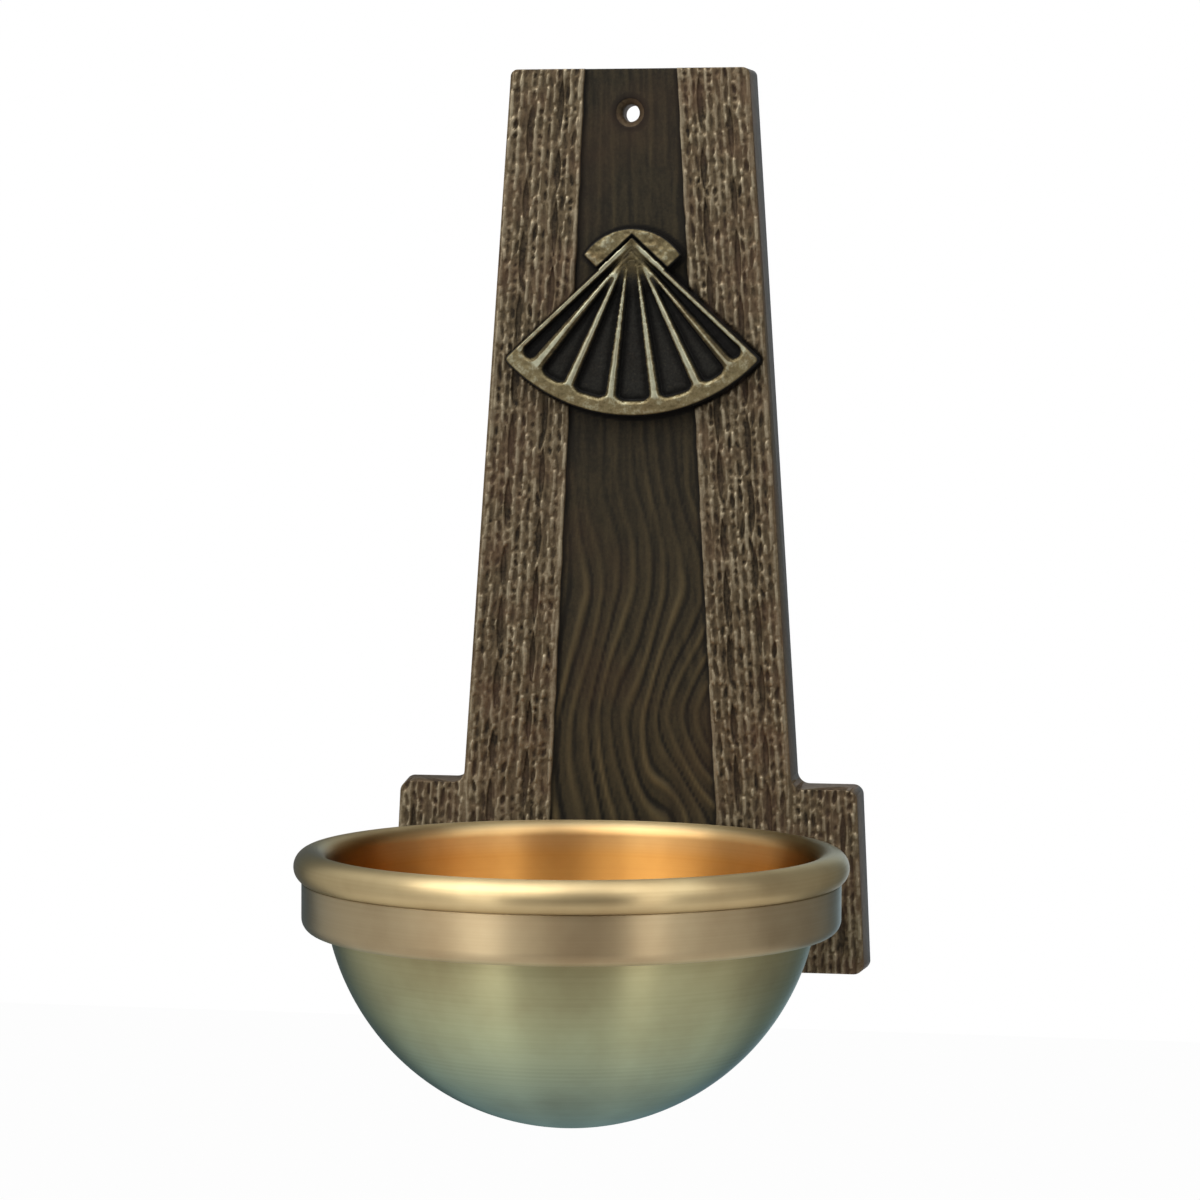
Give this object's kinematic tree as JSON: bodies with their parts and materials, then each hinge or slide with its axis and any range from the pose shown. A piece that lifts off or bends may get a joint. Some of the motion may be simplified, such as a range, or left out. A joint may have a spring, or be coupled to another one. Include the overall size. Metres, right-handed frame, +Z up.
{
  "type": "holy water stoup",
  "caption": "Wall-hung holy water stoup: cast back plate with wavy channel and scallop shell, bracket, and a turned stepped bowl with a lift-out beaded liner.",
  "frame": {"origin": "centre of the upper wall screw hole, on the wall plane", "axes": "+Z up, +Y into the wall, so the front looks along -Y, +X to the right seen from the front"},
  "size_m": [0.16, 0.182, 0.311],
  "materials": {
    "cast_bronze": "dark brown patina, crests rubbed bright",
    "shell_bronze": "patinated, ribs and border rubbed bright",
    "bracket_bronze": "as cast, brown patina",
    "satin_brass": "turned, satin, olive gold",
    "bright_brass": "turned, bright satin, warm gold",
    "steel": "zinc plated",
    "sealing_rubber": "matte"
  },
  "bodies": {
    "stoup": {"back_plate": "cast_bronze", "scallop_shell": "shell_bronze", "shell_washers": "steel", "shell_nuts": "steel", "bowl_bracket": "bracket_bronze", "bracket_washers": "steel", "bracket_screws": "steel", "outer_bowl": "satin_brass", "bowl_screws": "steel", "bowl_washers": "sealing_rubber"},
    "liner": {"liner": "bright_brass"}
  },
  "joints": [
    {"name": "liner_lift", "type": "slide", "parent": "stoup", "child": "liner", "axis": [0, 0, 1], "range_m": [0, 0.1]}
  ]
}
